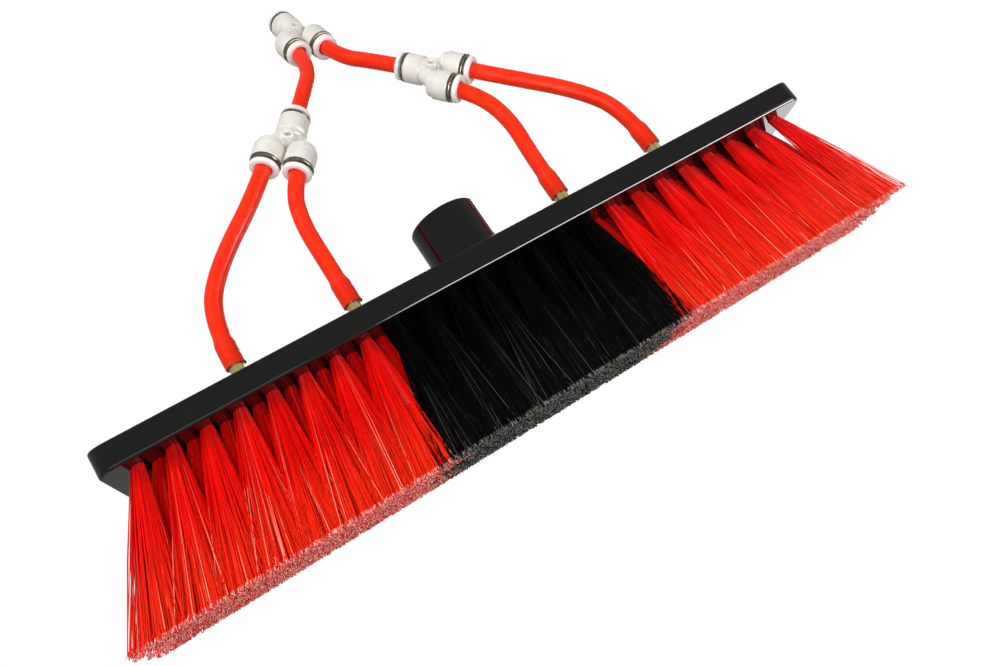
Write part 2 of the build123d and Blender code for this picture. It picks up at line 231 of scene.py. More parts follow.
def moulded_polypropylene():
    """Injection-moulded black polypropylene: a deep shine, a faint orange-peel ripple and some dust."""
    material, tree, place = start_material("moulded_polypropylene_black")
    ripple = add_node(tree, "ShaderNodeTexNoise", {
        "Vector": (place, "Object"), "Scale": pattern_scale(2.857), "Detail": 2.0})
    cloud = add_node(tree, "ShaderNodeTexNoise", {
        "Vector": (place, "Object"), "Scale": pattern_scale(16.67), "Detail": 4.0})
    # a few specks of dust about half a millimetre across, drawn larger than real so that they show
    cells = add_node(tree, "ShaderNodeTexVoronoi", {
        "Vector": (place, "Object"), "Scale": pattern_scale(3.846)})
    speck = add_node(tree, "ShaderNodeMapRange", {
        "Value": (cells, "Distance"), "From Min": 0.05, "From Max": 0.09, "To Min": 1.0, "To Max": 0.0})
    chosen = add_node(tree, "ShaderNodeMath", {0: (cells, "Color"), 1: 0.93}, operation="GREATER_THAN")
    dust = add_node(tree, "ShaderNodeMath", {
        0: (speck, "Result"), 1: (chosen, "Value")}, operation="MULTIPLY")
    colour = add_node(tree, "ShaderNodeValToRGB", {"Fac": (cloud, "Fac")}, stops=[
        (0.3, linear("#050505")), (0.75, linear("#0a0a09"))])
    dusty = add_node(tree, "ShaderNodeMix", {
        "Factor": (dust, "Value"), "A": (colour, "Color"), "B": rgba(linear("#4a4945"))}, data_type="RGBA")
    gloss = add_node(tree, "ShaderNodeMapRange", {
        "Value": (cloud, "Fac"), "From Min": 0.3, "From Max": 0.7, "To Min": 0.06, "To Max": 0.12})
    bump = add_node(tree, "ShaderNodeBump", {
        "Height": (ripple, "Fac"), "Strength": 0.08, "Distance": 0.05 * MM})
    shader = add_node(tree, "ShaderNodeBsdfPrincipled", {
        "Base Color": (dusty, "Result"), "Roughness": (gloss, "Result"), "Normal": (bump, "Normal"),
        "IOR": 1.5})
    add_node(tree, "ShaderNodeOutputMaterial", {"Surface": (shader, "BSDF")})
    return material


def filament(name, colours, sheen):
    """Extruded polyester filament: each strand has its own random tone, painted shade at its root and painted
    light towards its tip, a few strands carry a painted sheen line, and the cut ends are speckled.

    The colours are those of a root's painted shade, the length, a tip's painted light, the darkest and palest
    cut end, and a strand's painted sheen.
    """
    deep, body, bright, dark_cut, pale_cut, painted_sheen_colour = colours
    material, tree, _ = start_material(name)
    along = add_node(tree, "ShaderNodeAttribute", attribute_name="along")
    strand = add_node(tree, "ShaderNodeAttribute", attribute_name="strand")
    # painted shade at the root and painted light towards the tip, along each strand's length
    root_shade_tip_light = add_node(tree, "ShaderNodeValToRGB", {"Fac": (along, "Fac")}, stops=[
        (0.0, deep), (0.15, body), (0.45, body), (0.85, bright)])
    shade = add_node(tree, "ShaderNodeMapRange", {
        "Value": (strand, "Fac"), "To Min": 0.80, "To Max": 1.0})
    shaded = add_node(tree, "ShaderNodeMix", {
        "Factor": 1.0, "A": (root_shade_tip_light, "Color"), "B": (shade, "Result")},
        data_type="RGBA", blend_type="MULTIPLY")
    # painted sheen: one strand in sixteen is a pale one, a painted highlight that is palest towards its tip
    has_painted_sheen = add_node(tree, "ShaderNodeMath", {0: (strand, "Fac"), 1: 0.94}, operation="GREATER_THAN")
    sheen_towards_tip = add_node(tree, "ShaderNodeMapRange", {
        "Value": (along, "Fac"), "From Min": 0.35, "From Max": 0.95, "To Min": 0.08, "To Max": 0.75})
    painted_sheen_part = add_node(tree, "ShaderNodeMath", {
        0: (has_painted_sheen, "Value"), 1: (sheen_towards_tip, "Result")}, operation="MULTIPLY")
    with_painted_sheen = add_node(tree, "ShaderNodeMix", {
        "Factor": (painted_sheen_part, "Value"), "A": (shaded, "Result"), "B": rgba(painted_sheen_colour)}, data_type="RGBA")
    # the cut ends: a second random number for each strand, from the digits that its shade leaves over
    spread = add_node(tree, "ShaderNodeMath", {0: (strand, "Fac"), 1: 37.0}, operation="MULTIPLY")
    second = add_node(tree, "ShaderNodeMath", {0: (spread, "Value")}, operation="FRACT")
    cut = add_node(tree, "ShaderNodeValToRGB", {"Fac": (second, "Value")}, stops=[
        (0.35, dark_cut), (0.8, pale_cut)])
    is_cut = add_node(tree, "ShaderNodeMapRange", {
        "Value": (along, "Fac"), "From Min": 0.974, "From Max": 0.986})
    colour = add_node(tree, "ShaderNodeMix", {
        "Factor": (is_cut, "Result"), "A": (with_painted_sheen, "Result"), "B": (cut, "Color")}, data_type="RGBA")
    gloss = add_node(tree, "ShaderNodeMapRange", {"Value": (strand, "Fac"), "To Min": 0.28, "To Max": 0.5})
    shader = add_node(tree, "ShaderNodeBsdfPrincipled", {
        "Base Color": (colour, "Result"), "Roughness": (gloss, "Result"), "IOR": 1.57,
        "Specular IOR Level": sheen})
    add_node(tree, "ShaderNodeOutputMaterial", {"Surface": (shader, "BSDF")})
    return material


def red_filament(colour):
    """Red polyester filament: saturated, darker at the roots as painted shade, brighter and more orange
    towards the tips as painted light, with pale strands as painted sheen, and pink where it is cut.
    """
    return filament("polyester_filament_red", (
        # the root's painted shade, the length, the tip's painted light, the darkest and palest cut end, and
        # the painted sheen
        linear("#d80802"), tuple(colour), linear("#ff2a08"), linear("#dc3026"), linear("#ffb6aa"),
        linear("#ffb8a0")), 0.12)


def black_filament(colour):
    """Black polyester filament: a tip a touch lighter as painted light, a few grey lines of painted sheen,
    and a grey speckle where it is cut.
    """
    return filament("polyester_filament_black", (
        # the root's painted shade, the length, the tip's painted light, the darkest and palest cut end, and
        # the painted sheen
        linear("#030303"), tuple(colour), linear("#080808"), linear("#0c0c0c"), linear("#84827c"),
        linear("#565450")), 0.05)


def polyurethane_tube(colour):
    """Extruded polyurethane tube: a waxy shine, softly mottled, with a fine grain drawn coarser than real."""
    material, tree, place = start_material("polyurethane_tube_red")
    mottle = add_node(tree, "ShaderNodeTexNoise", {
        "Vector": (place, "Object"), "Scale": pattern_scale(11.11), "Detail": 5.0})
    grain = add_node(tree, "ShaderNodeTexNoise", {
        "Vector": (place, "Object"), "Scale": pattern_scale(1.1111), "Detail": 3.0})
    tint = add_node(tree, "ShaderNodeValToRGB", {"Fac": (mottle, "Fac")}, stops=[
        (0.30, linear("#f52602")), (0.55, tuple(colour)), (0.78, linear("#ff3c08"))])
    gloss = add_node(tree, "ShaderNodeMapRange", {
        "Value": (mottle, "Fac"), "From Min": 0.3, "From Max": 0.7, "To Min": 0.22, "To Max": 0.34})
    bump = add_node(tree, "ShaderNodeBump", {
        "Height": (grain, "Fac"), "Strength": 0.10, "Distance": 0.05 * MM})
    shader = add_node(tree, "ShaderNodeBsdfPrincipled", {
        "Base Color": (tint, "Color"), "Roughness": (gloss, "Result"), "Normal": (bump, "Normal"),
        "IOR": 1.5, "Specular IOR Level": 0.3})
    add_node(tree, "ShaderNodeOutputMaterial", {"Surface": (shader, "BSDF")})
    return material


def moulded_polyester(name, colour, shadow):
    """Moulded polybutylene terephthalate: a warm white with a satin shine and a spark-eroded grain.

    The grain is drawn several times coarser than real so that it shows.
    """
    material, tree, place = start_material(name)
    mottle = add_node(tree, "ShaderNodeTexNoise", {
        "Vector": (place, "Object"), "Scale": pattern_scale(8.333), "Detail": 4.0})
    grain = add_node(tree, "ShaderNodeTexNoise", {
        "Vector": (place, "Object"), "Scale": pattern_scale(0.625), "Detail": 2.0})
    tint = add_node(tree, "ShaderNodeValToRGB", {"Fac": (mottle, "Fac")}, stops=[
        (0.3, shadow), (0.62, tuple(colour))])
    gloss = add_node(tree, "ShaderNodeMapRange", {
        "Value": (mottle, "Fac"), "From Min": 0.3, "From Max": 0.7, "To Min": 0.24, "To Max": 0.36})
    bump = add_node(tree, "ShaderNodeBump", {
        "Height": (grain, "Fac"), "Strength": 0.10, "Distance": 0.03 * MM})
    shader = add_node(tree, "ShaderNodeBsdfPrincipled", {
        "Base Color": (tint, "Color"), "Roughness": (gloss, "Result"), "Normal": (bump, "Normal"),
        "IOR": 1.55})
    add_node(tree, "ShaderNodeOutputMaterial", {"Surface": (shader, "BSDF")})
    return material


def worked_metal(name, dark, light, rough, mark_spacing):
    """A metal whose working marks break up its reflections, drawn coarser than real so that they show."""
    material, tree, place = start_material(name)
    marks = add_node(tree, "ShaderNodeTexNoise", {
        "Vector": (place, "Object"), "Scale": pattern_scale(mark_spacing), "Detail": 5.0})
    tint = add_node(tree, "ShaderNodeValToRGB", {"Fac": (marks, "Fac")}, stops=[(0.3, dark), (0.7, light)])
    gloss = add_node(tree, "ShaderNodeMapRange", {
        "Value": (marks, "Fac"), "From Min": 0.3, "From Max": 0.7, "To Min": rough, "To Max": rough + 0.14})
    bump = add_node(tree, "ShaderNodeBump", {
        "Height": (marks, "Fac"), "Strength": 0.12, "Distance": 0.03 * MM})
    shader = add_node(tree, "ShaderNodeBsdfPrincipled", {
        "Base Color": (tint, "Color"), "Roughness": (gloss, "Result"), "Normal": (bump, "Normal"),
        "Metallic": 1.0})
    add_node(tree, "ShaderNodeOutputMaterial", {"Surface": (shader, "BSDF")})
    return material


def nitrile_rubber():
    """Moulded nitrile rubber: a soft black with a dull bloom."""
    material, tree, place = start_material("nitrile_rubber_black")
    bloom = add_node(tree, "ShaderNodeTexNoise", {
        "Vector": (place, "Object"), "Scale": pattern_scale(1.4286), "Detail": 3.0})
    tint = add_node(tree, "ShaderNodeValToRGB", {"Fac": (bloom, "Fac")}, stops=[
        (0.35, linear("#161616")), (0.7, linear("#242424"))])
    shader = add_node(tree, "ShaderNodeBsdfPrincipled", {"Base Color": (tint, "Color"), "Roughness": 0.6})
    add_node(tree, "ShaderNodeOutputMaterial", {"Surface": (shader, "BSDF")})
    return material


# ---------------------------------------------------------------- making pieces
def show(name, mesh, material, smooth=True):
    """Put a finished mesh in the scene with its material."""
    mesh.materials.clear()
    mesh.materials.append(material)
    if smooth:
        mesh.shade_smooth()
    else:
        mesh.shade_flat()
    piece = bpy.data.objects.new(name, mesh)
    bpy.context.scene.collection.objects.link(piece)
    return piece


def dress(node, material):
    """Give a CAD node its finish."""
    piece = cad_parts[node]
    piece.data.materials.clear()
    piece.data.materials.append(material)


def remove(piece):
    """Take a helper object out of the scene again."""
    bpy.data.objects.remove(piece)


def evaluated_mesh(piece):
    """The mesh that a curve or a piece with modifiers comes to."""
    graph = bpy.context.evaluated_depsgraph_get()
    return bpy.data.meshes.new_from_object(piece.evaluated_get(graph))


def above_edge(point):
    """A harness point, given in millimetres, as a place in the part's frame."""
    return Vector(point) * MM + Vector((0, 0, edge_top_z))


def fitting_matrix(key):
    """A fitting's own frame: origin between the branch ends, X along the branches, Z towards the inlet."""
    centre, axis, across = FITTINGS[key]
    z_axis = Vector(axis).normalized()
    x_axis = Vector(across)
    x_axis = (x_axis - z_axis * x_axis.dot(z_axis)).normalized()
    y_axis = z_axis.cross(x_axis)
    turn = Matrix((x_axis, y_axis, z_axis)).transposed()
    return Matrix.Translation(above_edge(centre)) @ turn.to_4x4()


def port_matrix(port):
    """A port's frame in its fitting's: origin in its mouth, Z out of it."""
    if port == "inlet":
        return Matrix.Translation((0, 0, FITTING_LENGTH))
    side = -0.5 if port == "branch_a" else 0.5
    return Matrix.Translation((side * PORT_PITCH, 0, 0)) @ Matrix.Rotation(pi, 4, "X")


MERGE_DISTANCE = 0.001 * MM
BARREL_SIDES = 72
EYE_SIDES = 40
HOLE_SIDES = 48
NECK_SIDES = 40


def spin_outline(bm, outline, matrix, steps=BARREL_SIDES):
    """Spin a closed outline of radius and height, in millimetres, into a solid, and place it."""
    verts = [bm.verts.new((r * MM, 0, z * MM)) for r, z in outline]
    edges = [bm.edges.new(pair) for pair in zip(verts, verts[1:] + verts[:1])]
    before = set(bm.verts)
    bmesh.ops.spin(
        bm, geom=verts + edges, cent=(0, 0, 0), axis=(0, 0, 1), angle=2 * pi, steps=steps, use_merge=True)
    made = verts + [v for v in bm.verts if v not in before]
    bmesh.ops.remove_doubles(bm, verts=made, dist=MERGE_DISTANCE)
    made = [v for v in made if v.is_valid]
    bmesh.ops.transform(bm, matrix=matrix, verts=made)


def closed_mesh(bm, name):
    """Turn a bmesh of closed shells into a mesh with its faces outwards."""
    bmesh.ops.recalc_face_normals(bm, faces=bm.faces)
    mesh = bpy.data.meshes.new(name)
    bm.to_mesh(mesh)
    bm.free()
    return mesh


# ---------------------------------------------------------------- bristles
def tuft_places(row):
    """Root centres of one row: every second row is staggered, and the middle row leaves room for the jets."""
    columns = TUFT_COLUMNS - row % 2
    y = (row - (TUFT_ROWS - 1) / 2) * row_pitch
    for column in range(columns):
        x = (column - (columns - 1) / 2) * tuft_pitch
        at_jet = abs(y) < row_pitch / 2 and any(abs(x - jet) < tuft_pitch / 2 for jet in jet_x)
        if not at_jet:
            yield x, y


def section_of(x):
    """The colour section that a column belongs to."""
    if x < -COLOUR_CHANGE * tuft_pitch:
        return "left"
    if x > COLOUR_CHANGE * tuft_pitch:
        return "right"
    return "centre"


# Where a strand has points, as shares of its length, and how thick it is there beside its plain taper.
STRAND_STEPS = (0.0, 0.16, 0.50, 0.97, 1.0)
STRAND_SWELL = (1.0, 1.0, 1.0, 1.0, 1.9)
# A strand parts along the block by the splay, mostly in step with its place in the tuft and more at the edge.
SPLAY_EVEN = 0.72
SPLAY_AT_EDGE = 0.28
SPLAY_STRAY = 0.9 * MM
# Strands pull towards the nearest of a few, in which depth counts for less than width.
CLUMPS = 22
CLUMP_PULL = 0.22
CLUMP_DEPTH_SHARE = 0.5
# A strand parts less across the block, bows a little and flicks aside at its cut end.
ROW_SPREAD = 3.5 * MM
ROW_STRAY = 0.8 * MM
STRAND_BOW = 0.5 * MM
TIP_FLICK = 0.35 * MM
# The trimmed face: how uneven it is, how far it is sunk to suit, and how wide.
TRIM_ROUGHNESS = 0.9 * MM
TRIM_SINK = 0.5 * TRIM_ROUGHNESS
TRIM_HALF_WIDTH = (TUFT_ROWS - 1) / 2 * row_pitch + 3.0 * MM
ROOT_DEPTH = 1.0 * MM
# How much tufts lean at random, and how far the last tuft at each end leans out beyond the rest.
TUFT_LEAN = 0.8 * MM
END_LEAN = {"left": -3.0 * MM, "right": 7.0 * MM}
END_REACH = 0.75
OUTER_ROWS = 2
FIRST_SEED = 100
SEEDS_PER_ROW = 10
SECTION_SEEDS = {"left": 4, "centre": 6, "right": 5}


def tuft_strands(settings, root, lean, count, rng):
    """The points of every strand of one tuft, which part on their way from the hole to the trimmed face."""
    radius = TUFT_HOLE_RADIUS - settings.root_radius
    angle = rng.uniform(0, 2 * pi, count)
    distance = radius * np.sqrt(rng.uniform(0, 1, count))
    across = distance * np.cos(angle)
    deep = distance * np.sin(angle)
    side = across / radius
    spread = settings.splay * side * (SPLAY_EVEN + SPLAY_AT_EDGE * np.abs(side))
    spread = spread + rng.normal(0, SPLAY_STRAY, count)
    centres = rng.choice(count, CLUMPS, replace=False)
    side_gap = np.abs(side[:, None] - side[centres][None, :])
    deep_gap = np.abs((deep[:, None] - deep[centres][None, :]) / radius)
    near = np.argmin(side_gap + CLUMP_DEPTH_SHARE * deep_gap, axis=1)
    spread = spread + CLUMP_PULL * (spread[centres][near] - spread)
    row_spread = deep / radius * ROW_SPREAD + rng.normal(0, ROW_STRAY, count)
    tip_x = root[0] * TUFT_FAN + lean + spread
    tip_y = np.clip(root[1] + row_spread, -TRIM_HALF_WIDTH, TRIM_HALF_WIDTH)
    tip_z = np.abs(rng.normal(0, TRIM_ROUGHNESS, count)) - TRIM_SINK
    start = np.stack([root[0] + across, root[1] + deep, np.full(count, underside_z + ROOT_DEPTH)], axis=1)
    tip = np.stack([tip_x, tip_y, tip_z], axis=1)
    bow = rng.normal(0, STRAND_BOW, (count, 2))
    points = np.zeros((count, len(STRAND_STEPS), 3))
    for i, step in enumerate(STRAND_STEPS):
        points[:, i] = start + (tip - start) * step
        points[:, i, :2] += bow * sin(pi * step)
    points[:, -1, :2] += rng.normal(0, TIP_FLICK, (count, 2))
    return points


def strands_mesh(name, points, settings):
    """One thin tapered rod for each strand."""
    curve = bpy.data.curves.new(name, "CURVE")
    curve.dimensions = "3D"
    curve.bevel_depth = 1.0
    curve.bevel_resolution = 0
    curve.use_fill_caps = True
    steps = len(STRAND_STEPS)
    radii = [
        swell * (settings.root_radius + (settings.tip_radius - settings.root_radius) * step)
        for step, swell in zip(STRAND_STEPS, STRAND_SWELL)]
    for strand in points:
        spline = curve.splines.new("POLY")
        spline.points.add(steps - 1)
        spline.points.foreach_set("co", np.c_[strand, np.ones(steps)].ravel())
        spline.points.foreach_set("radius", radii)
    helper = bpy.data.objects.new(name + "_line", curve)
    bpy.context.scene.collection.objects.link(helper)
    mesh = evaluated_mesh(helper)
    remove(helper)
    return mesh


def mark_strands(mesh, count, rng):
    """Give every vertex its strand's random shade and its place along the strand."""
    per_strand = len(mesh.vertices) // count
    shade = mesh.attributes.new("strand", "FLOAT", "POINT")
    shade.data.foreach_set("value", np.repeat(rng.uniform(0, 1, count), per_strand).astype(np.float32))
    heights = np.zeros(len(mesh.vertices) * 3, np.float32)
    mesh.vertices.foreach_get("co", heights)
    along = mesh.attributes.new("along", "FLOAT", "POINT")
    along.data.foreach_set("value", np.clip(1 - heights[2::3] / underside_z, 0, 1).astype(np.float32))


class BRUSHHEAD_OT_bristles(bpy.types.Operator):
    """Fill every tuft hole with strands that fan out to the trimmed face"""

    bl_idname = "brush_head.bristles"
    bl_label = "Bristles"

    def execute(self, context):
        settings = context.scene.brush_head_bristles
        finishes = {"left": red_filament(settings.red), "centre": black_filament(settings.black)}
        finishes["right"] = finishes["left"]
        last_x = (TUFT_COLUMNS - 1) / 2 * tuft_pitch
        for row in range(TUFT_ROWS):
            outer = row < OUTER_ROWS or row >= TUFT_ROWS - OUTER_ROWS
            count = settings.outer_strands if outer else settings.inner_strands
            for section in ("left", "centre", "right"):
                seed = FIRST_SEED + SEEDS_PER_ROW * row + SECTION_SEEDS[section]
                rng = np.random.default_rng(seed)
                strands = []
                for x, y in tuft_places(row):
                    if section_of(x) != section:
                        continue
                    lean = rng.normal(0, TUFT_LEAN)
                    if abs(x) > last_x - tuft_pitch * END_REACH:
                        lean += END_LEAN[section]
                    strands.append(tuft_strands(settings, (x, y), lean, count, rng))
                points = np.concatenate(strands)
                name = f"bristles_row_{row + 1}_{section}"
                mesh = strands_mesh(name, points, settings)
                mark_strands(mesh, len(points), rng)
                piece = show(name, mesh, finishes[section])
                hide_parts(f"tufts_row_{row + 1}_{section}")
                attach(piece, HEAD)
        wire = worked_metal("drawn_stainless_wire", linear("#8b8b8e"), linear("#b9b9bc"), 0.28, 1.1111)
        for section in ("left", "centre", "right"):
            dress(f"tuft_anchors_{section}", wire)
        return {"FINISHED"}


# ---------------------------------------------------------------- block and jets
class BRUSHHEAD_OT_block(bpy.types.Operator):
    """Finish the moulded block and its pole socket"""

    bl_idname = "brush_head.block"
    bl_label = "Block"

    def execute(self, context):
        plastic = moulded_polypropylene()
        dress("brush_block", plastic)
        dress("pole_socket", plastic)
        return {"FINISHED"}


class BRUSHHEAD_OT_jets(bpy.types.Operator):
    """Finish the four brass jets"""

    bl_idname = "brush_head.jets"
    bl_label = "Jets"

    def execute(self, context):
        brass = worked_metal("turned_brass", linear("#f0c868"), linear("#fff0b8"), 0.26, 2.0)
        for name in ("jet_outer_left", "jet_inner_left", "jet_inner_right", "jet_outer_right"):
            dress(name, brass)
        return {"FINISHED"}


# ---------------------------------------------------------------- fittings
# Outlines are pairs of radius and height out of the mouth, in millimetres.
# A port's barrel, from its mouth back over the rounded shoulder to the neck, and its bore.
BARREL = (
    (5.5, 0.0), (6.7, 0.0), (6.7, -1.1), (7.5, -1.2), (7.5, -9.3), (7.3, -9.7), (6.6, -9.8), (6.6, -11.6),
    (6.3, -12.4), (5.6, -12.9), (4.8, -13.0), (0.0, -13.0), (0.0, -9.2), (4.1, -9.2), (5.5, -8.0),
)
# The collet: a sleeve in the port and the flared ring that a thumb presses.
COLLET = (
    (4.05, -4.4), (5.2, -4.4), (5.2, 1.62), (6.7, 1.62), (7.0, 1.8), (7.1, 2.2), (7.05, 3.0), (6.8, 3.6),
    (6.3, 3.95), (5.1, 4.0), (4.5, 3.85), (4.15, 3.5), (4.05, 3.0),
)
EYE_RING = ((1.5, -7.0), (3.1, -7.0), (3.4, -6.7), (3.4, 6.7), (3.1, 7.0), (1.5, 7.0))
# The nickel ring that crimps the port's mouth, turned over it with a soft edge.
CAP_RING = (
    (6.8, -1.1), (7.3, -1.1), (7.42, -0.95), (7.42, 0.1), (7.35, 0.3), (7.15, 0.4), (5.45, 0.4), (5.45, 0.1),
    (6.8, 0.1),
)
NECK_RADIUS = 4.3 * MM
NECK_FOOT = 10 * MM
NECK_TOP = 18.5 * MM
NECK_CLOSING = 0.3
EYE_CUTTER_LENGTH = 20 * MM
BODY_SMOOTHING = 2
BODY_SOFTNESS = 0.5


def add_neck(bm, start, end):
    """A round bar from one point to another."""
    middle = (start + end) / 2
    turn = (end - start).to_track_quat("Z", "Y").to_matrix().to_4x4()
    bmesh.ops.create_cone(
        bm, cap_ends=True, cap_tris=False, segments=NECK_SIDES, radius1=NECK_RADIUS, radius2=NECK_RADIUS,
        depth=(end - start).length, matrix=Matrix.Translation(middle) @ turn)


def fitting_body(key, settings, material):
    """Barrels, necks and eye melted into one moulding, with the eye's hole cut through."""
    bm = bmesh.new()
    for port in PORT_NAMES:
        spin_outline(bm, BARREL, port_matrix(port))
    for side in (-0.5, 0.5):
        foot = Vector((side * PORT_PITCH, 0, NECK_FOOT))
        add_neck(bm, foot, Vector((side * PORT_PITCH * NECK_CLOSING, 0, NECK_TOP)))
    across = Matrix.Translation((0, 0, EYE_HEIGHT)) @ Matrix.Rotation(pi / 2, 4, "X")
    spin_outline(bm, EYE_RING, across, EYE_SIDES)
    body = show(f"fitting_{key}_moulding", closed_mesh(bm, f"fitting_{key}_moulding"), material)

    melt = body.modifiers.new("melt", "REMESH")
    melt.mode = "VOXEL"
    melt.voxel_size = settings.voxel
    soften = body.modifiers.new("soften", "SMOOTH")
    soften.iterations = BODY_SMOOTHING
    soften.factor = BODY_SOFTNESS
    bm = bmesh.new()
    bmesh.ops.create_cone(
        bm, cap_ends=True, segments=HOLE_SIDES, radius1=EYE_HOLE_RADIUS, radius2=EYE_HOLE_RADIUS,
        depth=EYE_CUTTER_LENGTH, matrix=across)
    cutter = show("eye_cutter", closed_mesh(bm, "eye_cutter"), material)
    pierce = body.modifiers.new("pierce", "BOOLEAN")
    pierce.operation = "DIFFERENCE"
    pierce.solver = "EXACT"
    pierce.object = cutter
    mesh = evaluated_mesh(body)
    mesh.name = f"fitting_{key}_moulding"
    remove(cutter)
    remove(body)
    mesh.transform(fitting_matrix(key))
    return show(f"fitting_{key}_moulding", mesh, material)


class BRUSHHEAD_OT_fittings(bpy.types.Operator):
    """Make the three Y fittings and their release collets"""

    bl_idname = "brush_head.fittings"
    bl_label = "Fittings"

    def execute(self, context):
        settings = context.scene.brush_head_fittings
        white = moulded_polyester("moulded_pbt_warm_white", settings.colour, linear("#dedad2"))
        bright = moulded_polyester("moulded_pbt_white", settings.collet_colour, linear("#f3f0ec"))
        nickel = worked_metal("nickel_plated_brass", linear("#75695a"), linear("#a99d88"), 0.22, 1.25)
        steel = worked_metal("sprung_stainless_steel", linear("#98989b"), linear("#c4c4c7"), 0.22, 0.8333)
        rubber = nitrile_rubber()
        for key in FITTINGS:
            body = fitting_body(key, settings, white)
            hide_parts(f"fitting_{key}_body")
            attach(body, HEAD)
            bm = bmesh.new()
            for port in PORT_NAMES:
                spin_outline(bm, CAP_RING, fitting_matrix(key) @ port_matrix(port))
            name = f"fitting_{key}_crimp_rings"
            rings = show(name, closed_mesh(bm, name), nickel)
            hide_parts(f"fitting_{key}_cap_rings")
            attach(rings, HEAD)
            dress(f"fitting_{key}_grip_rings", steel)
            dress(f"fitting_{key}_seals", rubber)
            for port in PORT_NAMES:
                bm = bmesh.new()
                spin_outline(bm, COLLET, fitting_matrix(key) @ port_matrix(port))
                name = f"fitting_{key}_release_{port}"
                collet = show(name, closed_mesh(bm, name), bright)
                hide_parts(f"fitting_{key}_collet_{port}")
                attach(collet, f"{key}_{port}_collet")
        return {"FINISHED"}


# ---------------------------------------------------------------- hoses
# Over a barb the tube is stretched for a length, ripples over the ridges, and narrows again.
SLEEVE_LENGTH = 10.5 * MM
SLEEVE_FADE = 5.0 * MM
BARB_RIPPLE = 0.03 * MM
BARB_PITCH = 3.6 * MM
LINE_STEPS = 72
TUBE_ROUNDNESS = 8


def smooth_line(name, points):
    """The route's own NURBS line, as closely spaced points."""
    curve = bpy.data.curves.new(name, "CURVE")
    curve.dimensions = "3D"
    curve.resolution_u = LINE_STEPS
    spline = curve.splines.new("NURBS")
    spline.points.add(len(points) - 1)
    for point, place in zip(spline.points, points):
        point.co = (*place, 1)
    spline.order_u = 3
    spline.use_endpoint_u = True
    helper = bpy.data.objects.new(name + "_line", curve)
    bpy.context.scene.collection.objects.link(helper)
    line = [v.co.copy() for v in evaluated_mesh(helper).vertices]
    remove(helper)
    return line


def stretched_radius(settings, to_end):
    """The tube's radius at a distance from the end that a barb stretches."""
    plain = settings.diameter / 2
    extra = (settings.sleeve - settings.diameter) / 2
    if to_end < SLEEVE_LENGTH:
        return plain + extra + BARB_RIPPLE * cos(2 * pi * to_end / BARB_PITCH)
    fade = min((to_end - SLEEVE_LENGTH) / SLEEVE_FADE, 1)
    return plain + extra * (1 + cos(pi * fade)) / 2


def tube(name, line, settings, material, stretched):
    """A round tube along a line. One that is stretched ends over a barb."""
    curve = bpy.data.curves.new(name, "CURVE")
    curve.dimensions = "3D"
    curve.bevel_depth = 1.0
    curve.bevel_resolution = TUBE_ROUNDNESS
    curve.use_fill_caps = True
    spline = curve.splines.new("POLY")
    spline.points.add(len(line) - 1)
    to_end = 0
    for i in reversed(range(len(line))):
        if i < len(line) - 1:
            to_end += (line[i + 1] - line[i]).length
        spline.points[i].co = (*line[i], 1)
        if stretched:
            spline.points[i].radius = stretched_radius(settings, to_end)
        else:
            spline.points[i].radius = settings.diameter / 2
    helper = bpy.data.objects.new(name + "_line", curve)
    bpy.context.scene.collection.objects.link(helper)
    mesh = evaluated_mesh(helper)
    remove(helper)
    return show(name, mesh, material)


def port_line(key, port):
    """A port's mouth and the way out of it, in the part's frame."""
    matrix = fitting_matrix(key) @ port_matrix(port)
    return matrix.translation, matrix.to_3x3() @ Vector((0, 0, 1))


def add_hose(name, points, settings, material, stretched):
    line = smooth_line(name, points)
    piece = tube(name + "_tube", line, settings, material, stretched)
    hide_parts(name)
    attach(piece, HEAD)


class BRUSHHEAD_OT_hoses(bpy.types.Operator):
    """Lay the six hoses of the harness"""

    bl_idname = "brush_head.hoses"
    bl_label = "Hoses"

    def execute(self, context):
        settings = context.scene.brush_head_hoses
        material = polyurethane_tube(settings.colour)
        for (name, (key, branch, lead, corner, turn, length)), x in zip(JET_HOSES.items(), jet_x):
            mouth, out = port_line(key, branch)
            points = [
                mouth - out * PORT_DEPTH,
                mouth + out * (COLLET_FACE + lead * MM),
                above_edge(corner),
                above_edge((x / MM, 0, turn)),
                Vector((x, 0, hose_end_z)),
            ]
            add_hose(name, points, settings, material, True)
        for name, (key, branch, length) in LINK_HOSES.items():
            low_mouth, low_out = port_line(key, "inlet")
            top_mouth, top_out = port_line("top", branch)
            low_face = low_mouth + low_out * COLLET_FACE
            top_face = top_mouth + top_out * COLLET_FACE
            gap = (top_face - low_face).length
            points = [
                low_mouth - low_out * PORT_DEPTH,
                low_face + low_out * LINK_LOWER_LEAD * gap,
                top_face + top_out * LINK_UPPER_LEAD * gap,
                top_mouth - top_out * PORT_DEPTH,
            ]
            add_hose(name, points, settings, material, False)
        return {"FINISHED"}


# ---------------------------------------------------------------- stage
CAMERA_SHIFT = (0.0057, 0.0029)
CAMERA_NEAREST = 0.01
FLOOR_HALF_SIZE = 6
WORLD_FILL = 0.34
WORLD_SEEN = 1.0
